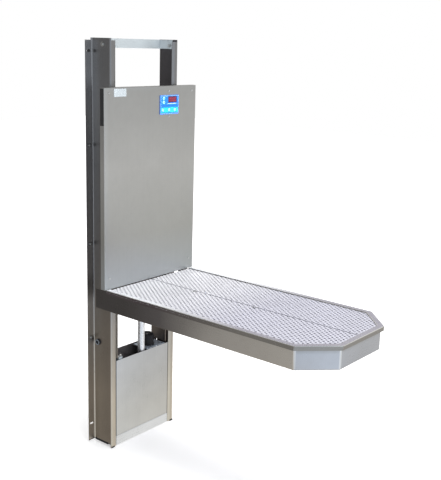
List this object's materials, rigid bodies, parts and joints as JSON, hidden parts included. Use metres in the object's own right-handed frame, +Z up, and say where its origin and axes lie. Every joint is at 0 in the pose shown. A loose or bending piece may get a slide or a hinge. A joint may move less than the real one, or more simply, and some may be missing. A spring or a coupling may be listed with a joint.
{
  "type": "wall-mounted lift table",
  "caption": "Wall-mounted stainless lift table: a cantilevered octagonal grated top and back panel with a scale display ride up and down two floor-to-head uprights.",
  "frame": {"origin": "on the wall plane at floor level, midway between the uprights", "axes": "+X to the right along the wall, +Y into the wall, +Z up; the table reaches out to -Y"},
  "size_m": [0.61, 1.366, 1.985],
  "materials": {
    "stainless": "brushed along its length, light handling marks",
    "bright_stainless": "bright mill finish",
    "panel_stainless": "fine vertical brushing",
    "grate_steel": "bright expanded metal",
    "carriage_steel": "dark satin",
    "chrome_tube": "ground and plated",
    "zinc_steel": "zinc plated",
    "motor_paint": "black satin paint",
    "cast_aluminium": "as cast",
    "nylon": "machined nylon",
    "rubber": "matt black",
    "control_blue": "smooth printed film",
    "key_cyan": "raised key domes",
    "display_red": "dark red filter over lit digits",
    "label_white": "blank white"
  },
  "bodies": {
    "mast": {"left_upright": "stainless", "right_upright": "stainless", "top_crossbar": "bright_stainless", "crossbar_bolt_left": "zinc_steel", "crossbar_bolt_right": "zinc_steel", "foot_trim_left": "rubber", "foot_trim_right": "rubber", "base_crossbar": "bright_stainless", "motor_cover": "panel_stainless", "housing_back_plate": "stainless", "gearbox": "cast_aluminium", "drive_motor": "motor_paint", "motor_shelf": "bright_stainless", "actuator_tube": "chrome_tube", "stop_post_left": "rubber", "stop_post_right": "rubber", "limit_switch": "label_white", "power_inlet": "rubber"},
    "carriage": {"carriage_frame": "carriage_steel", "tray_cross_plate": "carriage_steel", "lower_panel_bar": "zinc_steel", "upper_panel_bar": "zinc_steel", "actuator_rod": "chrome_tube", "rod_end_bolt": "zinc_steel", "axle_upper_left": "zinc_steel", "axle_upper_right": "zinc_steel", "axle_lower_left": "zinc_steel", "axle_lower_right": "zinc_steel", "back_panel": "panel_stainless", "panel_screw_1": "zinc_steel", "panel_screw_2": "zinc_steel", "panel_screw_3": "zinc_steel", "panel_screw_4": "zinc_steel", "fascia_screw_1": "zinc_steel", "fascia_screw_2": "zinc_steel", "control_box": "motor_paint", "control_fascia": "control_blue", "display_window": "display_red", "tray_frame": "stainless", "tray_rim": "stainless", "tray_tub": "stainless", "tub_floor": "stainless", "drain_fitting": "bright_stainless", "grate_spine": "stainless", "load_cell_1": "cast_aluminium", "load_cell_2": "cast_aluminium", "load_cell_3": "cast_aluminium", "load_cell_4": "cast_aluminium"},
    "roller_upper_left_body": {"roller_upper_left": "nylon"},
    "roller_upper_right_body": {"roller_upper_right": "nylon"},
    "roller_lower_left_body": {"roller_lower_left": "nylon"},
    "roller_lower_right_body": {"roller_lower_right": "nylon"},
    "lead_screw_body": {"lead_screw": "zinc_steel"},
    "left_grate_body": {"left_grate": "grate_steel"},
    "right_grate_body": {"right_grate": "grate_steel"},
    "lift_up_key": {"lift_up_button": "key_cyan"},
    "lift_down_key": {"lift_down_button": "key_cyan"},
    "zero_key": {"zero_button": "key_cyan"},
    "units_key": {"units_button": "key_cyan"},
    "hold_key": {"hold_button": "key_cyan"}
  },
  "joints": [
    {"name": "lift", "type": "slide", "parent": "mast", "child": "carriage", "axis": [0, 0, 1], "range_m": [-0.28, 0.2]},
    {"name": "roller_upper_left_spin", "type": "hinge", "parent": "carriage", "child": "roller_upper_left_body", "pos_m": [-0.2097, -0.0992, 1.56], "axis": [1, 0, 0], "range_deg": [-810, 581]},
    {"name": "roller_upper_right_spin", "type": "hinge", "parent": "carriage", "child": "roller_upper_right_body", "pos_m": [0.2097, -0.0992, 1.56], "axis": [1, 0, 0], "range_deg": [-810, 581]},
    {"name": "roller_lower_left_spin", "type": "hinge", "parent": "carriage", "child": "roller_lower_left_body", "pos_m": [-0.2097, -0.1393, 0.79], "axis": [1, 0, 0], "range_deg": [-682, 952]},
    {"name": "roller_lower_right_spin", "type": "hinge", "parent": "carriage", "child": "roller_lower_right_body", "pos_m": [0.2097, -0.1393, 0.79], "axis": [1, 0, 0], "range_deg": [-682, 952]},
    {"name": "lead_screw_spin", "type": "hinge", "parent": "mast", "child": "lead_screw_body", "pos_m": [0.01, -0.094, 0.43], "axis": [0, 0, 1], "range_deg": [-10100, 7220]},
    {"name": "left_grate_lift_out", "type": "slide", "parent": "carriage", "child": "left_grate_body", "axis": [0, 0, 1], "range_m": [0, 0.12]},
    {"name": "right_grate_lift_out", "type": "slide", "parent": "carriage", "child": "right_grate_body", "axis": [0, 0, 1], "range_m": [0, 0.12]},
    {"name": "lift_up_press", "type": "slide", "parent": "carriage", "child": "lift_up_key", "axis": [0, 1, 0], "range_m": [0, 0.001], "stiffness_N_per_m": 600, "springref_m": -0.001},
    {"name": "lift_down_press", "type": "slide", "parent": "carriage", "child": "lift_down_key", "axis": [0, 1, 0], "range_m": [0, 0.001], "stiffness_N_per_m": 600, "springref_m": -0.001},
    {"name": "zero_press", "type": "slide", "parent": "carriage", "child": "zero_key", "axis": [0, 1, 0], "range_m": [0, 0.001], "stiffness_N_per_m": 600, "springref_m": -0.001},
    {"name": "units_press", "type": "slide", "parent": "carriage", "child": "units_key", "axis": [0, 1, 0], "range_m": [0, 0.001], "stiffness_N_per_m": 600, "springref_m": -0.001},
    {"name": "hold_press", "type": "slide", "parent": "carriage", "child": "hold_key", "axis": [0, 1, 0], "range_m": [0, 0.001], "stiffness_N_per_m": 600, "springref_m": -0.001}
  ],
  "couplings": [
    {"joint": "roller_upper_left_spin", "follows": "lift", "rad_per_m": 50},
    {"joint": "roller_upper_right_spin", "follows": "lift", "rad_per_m": 50},
    {"joint": "roller_lower_left_spin", "follows": "lift", "rad_per_m": -58.824},
    {"joint": "roller_lower_right_spin", "follows": "lift", "rad_per_m": -58.824},
    {"joint": "lead_screw_spin", "follows": "lift", "rad_per_m": 628.32}
  ]
}
